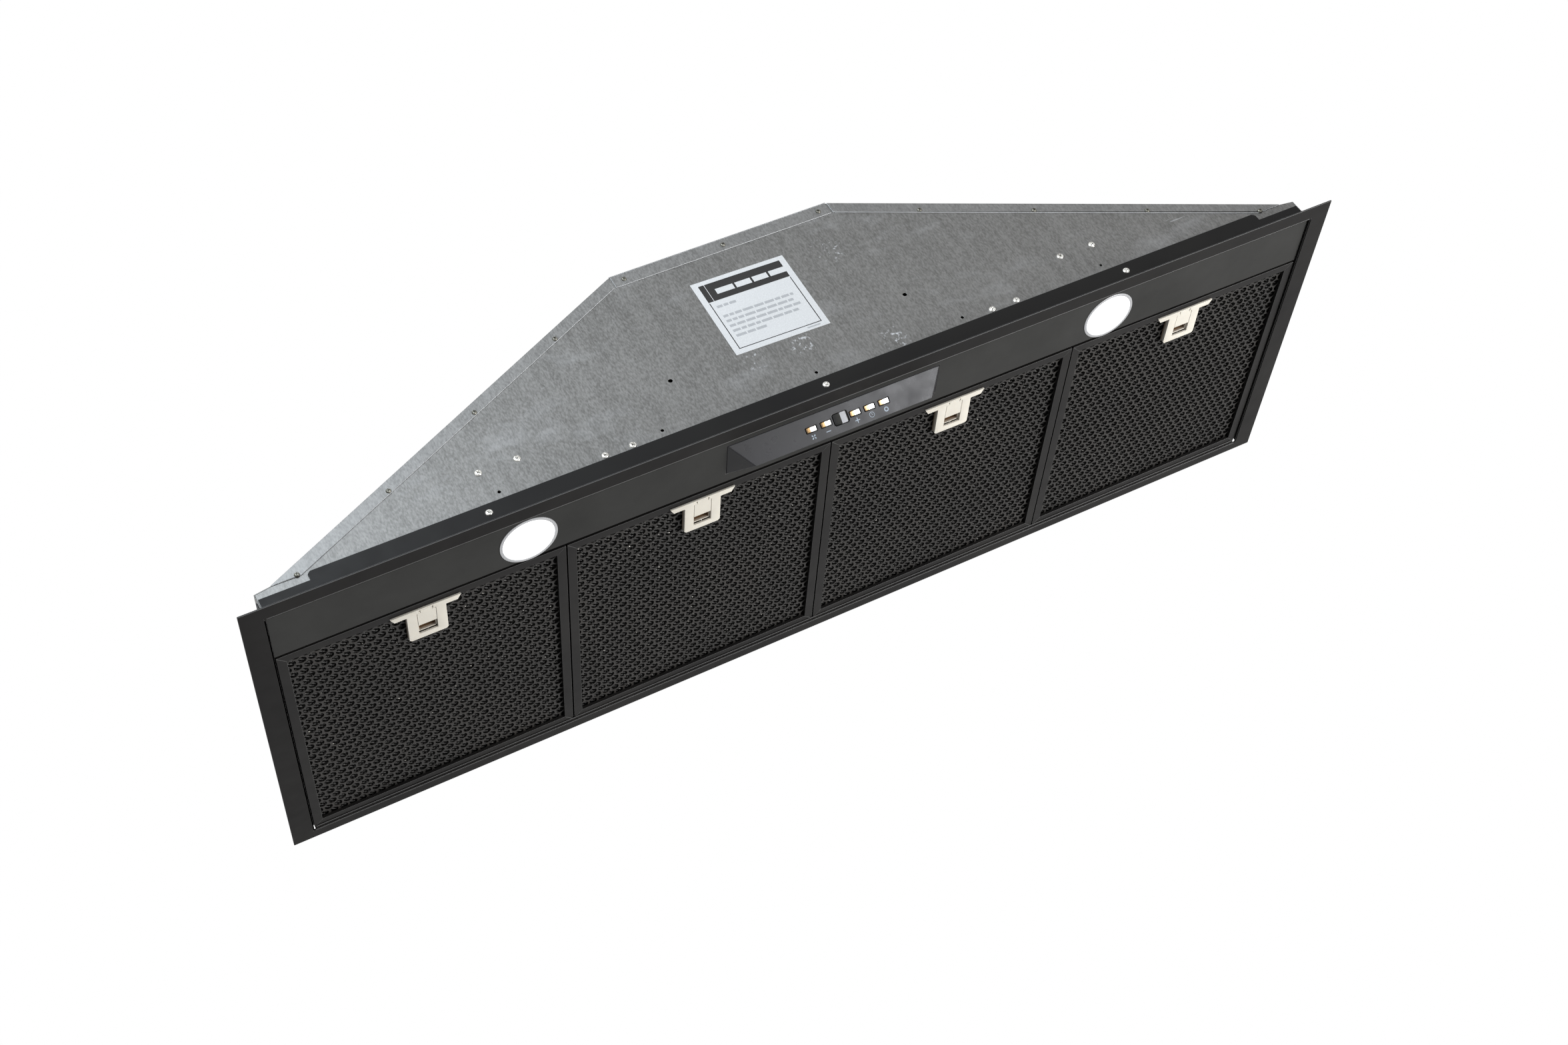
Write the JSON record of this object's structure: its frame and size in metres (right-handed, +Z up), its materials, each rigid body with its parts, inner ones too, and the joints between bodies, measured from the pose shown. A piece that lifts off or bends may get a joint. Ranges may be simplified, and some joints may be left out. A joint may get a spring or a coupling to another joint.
{
  "type": "range hood insert",
  "caption": "Wide cabinet range hood insert with a steel flange, latched perforated grease filters, lamps, a push-key control wedge, a blower and a damped duct outlet.",
  "frame": {"origin": "middle of the upper face of the face plate flange, the plane that the cabinet rests on", "axes": "+X to the right as seen by the cook, +Y back towards the wall, +Z up towards the duct"},
  "size_m": [1.16, 0.38, 0.2971],
  "materials": {
    "black_steel": "satin",
    "galvanised_steel": "satin",
    "zinc_screws": "satin",
    "motor_paint": "satin",
    "plated_steel": "polished",
    "white_plastic": "matt",
    "damper_aluminium": "satin",
    "box_plastic": "matt",
    "cream_plastic": "satin",
    "black_plastic": "satin",
    "board": "satin",
    "display": "gloss",
    "key_chrome": "chromed",
    "lamp_trim": "satin",
    "lamp_glass": "opal",
    "filter_steel": "satin",
    "filter_mesh": "satin",
    "spring_steel": "satin"
  },
  "bodies": {
    "hood": {"chassis_tray": "black_steel", "light_band": "black_steel", "front_panel": "galvanised_steel", "back_panel": "galvanised_steel", "left_side_panel": "galvanised_steel", "right_side_panel": "galvanised_steel", "top_panel": "galvanised_steel", "flange_screws": "zinc_screws", "chassis_screws": "zinc_screws", "bracket_screws": "zinc_screws", "blower_wrap": "galvanised_steel", "blower_side_left": "galvanised_steel", "blower_side_right": "galvanised_steel", "motor_bracket": "galvanised_steel", "motor": "motor_paint", "outlet_collar": "galvanised_steel", "outlet_screws": "zinc_screws", "damper_pin": "plated_steel", "junction_box": "box_plastic", "junction_box_lid": "box_plastic", "terminal_block": "cream_plastic", "cable_gland": "black_plastic", "run_capacitor": "black_plastic", "led_driver": "box_plastic", "control_housing": "black_plastic", "control_board": "board", "display_window": "display", "lamp_body_left": "lamp_trim", "lamp_lens_left": "lamp_glass", "lamp_body_right": "lamp_trim", "lamp_lens_right": "lamp_glass"},
    "fan": {"motor_shaft": "plated_steel", "impeller": "white_plastic"},
    "damper_left": {"damper_flap_left": "damper_aluminium"},
    "damper_right": {"damper_flap_right": "damper_aluminium"},
    "key_fan": {"fan_button": "key_chrome"},
    "key_minus": {"minus_button": "key_chrome"},
    "key_plus": {"plus_button": "key_chrome"},
    "key_timer": {"timer_button": "key_chrome"},
    "key_lamp": {"lamp_button": "key_chrome"},
    "filter_1": {"filter_frame_1": "filter_steel", "filter_mesh_1": "filter_mesh", "latch_body_1": "cream_plastic", "latch_spring_1": "spring_steel"},
    "latch_1": {"latch_slider_1": "cream_plastic"},
    "filter_2": {"filter_frame_2": "filter_steel", "filter_mesh_2": "filter_mesh", "latch_body_2": "cream_plastic", "latch_spring_2": "spring_steel"},
    "latch_2": {"latch_slider_2": "cream_plastic"},
    "filter_3": {"filter_frame_3": "filter_steel", "filter_mesh_3": "filter_mesh", "latch_body_3": "cream_plastic", "latch_spring_3": "spring_steel"},
    "latch_3": {"latch_slider_3": "cream_plastic"},
    "filter_4": {"filter_frame_4": "filter_steel", "filter_mesh_4": "filter_mesh", "latch_body_4": "cream_plastic", "latch_spring_4": "spring_steel"},
    "latch_4": {"latch_slider_4": "cream_plastic"}
  },
  "joints": [
    {"name": "fan_spin", "type": "hinge", "parent": "hood", "child": "fan", "pos_m": [0, -0.02, 0.118], "axis": [1, 0, 0], "continuous": true},
    {"name": "damper_left_swing", "type": "hinge", "parent": "hood", "child": "damper_left", "pos_m": [0, 0.0145, 0.2491], "axis": [0, 1, 0], "range_deg": [0, 75]},
    {"name": "damper_right_swing", "type": "hinge", "parent": "hood", "child": "damper_right", "pos_m": [0, 0.0145, 0.2491], "axis": [0, -1, 0], "range_deg": [0, 75]},
    {"name": "fan_press", "type": "slide", "parent": "hood", "child": "key_fan", "axis": [0, 0.7954, 0.606], "range_m": [0, 0.001], "stiffness_N_per_m": 400, "springref_m": -0.002},
    {"name": "minus_press", "type": "slide", "parent": "hood", "child": "key_minus", "axis": [0, 0.7954, 0.606], "range_m": [0, 0.001], "stiffness_N_per_m": 400, "springref_m": -0.002},
    {"name": "plus_press", "type": "slide", "parent": "hood", "child": "key_plus", "axis": [0, 0.7954, 0.606], "range_m": [0, 0.001], "stiffness_N_per_m": 400, "springref_m": -0.002},
    {"name": "timer_press", "type": "slide", "parent": "hood", "child": "key_timer", "axis": [0, 0.7954, 0.606], "range_m": [0, 0.001], "stiffness_N_per_m": 400, "springref_m": -0.002},
    {"name": "lamp_press", "type": "slide", "parent": "hood", "child": "key_lamp", "axis": [0, 0.7954, 0.606], "range_m": [0, 0.001], "stiffness_N_per_m": 400, "springref_m": -0.002},
    {"name": "filter_1_swing", "type": "hinge", "parent": "hood", "child": "filter_1", "pos_m": [-0.41775, 0.1742, 0.0005], "axis": [1, 0, 0], "range_deg": [0, 30]},
    {"name": "latch_1_pull", "type": "slide", "parent": "filter_1", "child": "latch_1", "axis": [0, 1, 0], "range_m": [0, 0.004], "stiffness_N_per_m": 800, "springref_m": -0.004, "deforming": ["latch_spring_1"]},
    {"name": "filter_2_swing", "type": "hinge", "parent": "hood", "child": "filter_2", "pos_m": [-0.13925, 0.1742, 0.0005], "axis": [1, 0, 0], "range_deg": [0, 30]},
    {"name": "latch_2_pull", "type": "slide", "parent": "filter_2", "child": "latch_2", "axis": [0, 1, 0], "range_m": [0, 0.004], "stiffness_N_per_m": 800, "springref_m": -0.004, "deforming": ["latch_spring_2"]},
    {"name": "filter_3_swing", "type": "hinge", "parent": "hood", "child": "filter_3", "pos_m": [0.13925, 0.1742, 0.0005], "axis": [1, 0, 0], "range_deg": [0, 30]},
    {"name": "latch_3_pull", "type": "slide", "parent": "filter_3", "child": "latch_3", "axis": [0, 1, 0], "range_m": [0, 0.004], "stiffness_N_per_m": 800, "springref_m": -0.004, "deforming": ["latch_spring_3"]},
    {"name": "filter_4_swing", "type": "hinge", "parent": "hood", "child": "filter_4", "pos_m": [0.41775, 0.1742, 0.0005], "axis": [1, 0, 0], "range_deg": [0, 30]},
    {"name": "latch_4_pull", "type": "slide", "parent": "filter_4", "child": "latch_4", "axis": [0, 1, 0], "range_m": [0, 0.004], "stiffness_N_per_m": 800, "springref_m": -0.004, "deforming": ["latch_spring_4"]}
  ]
}
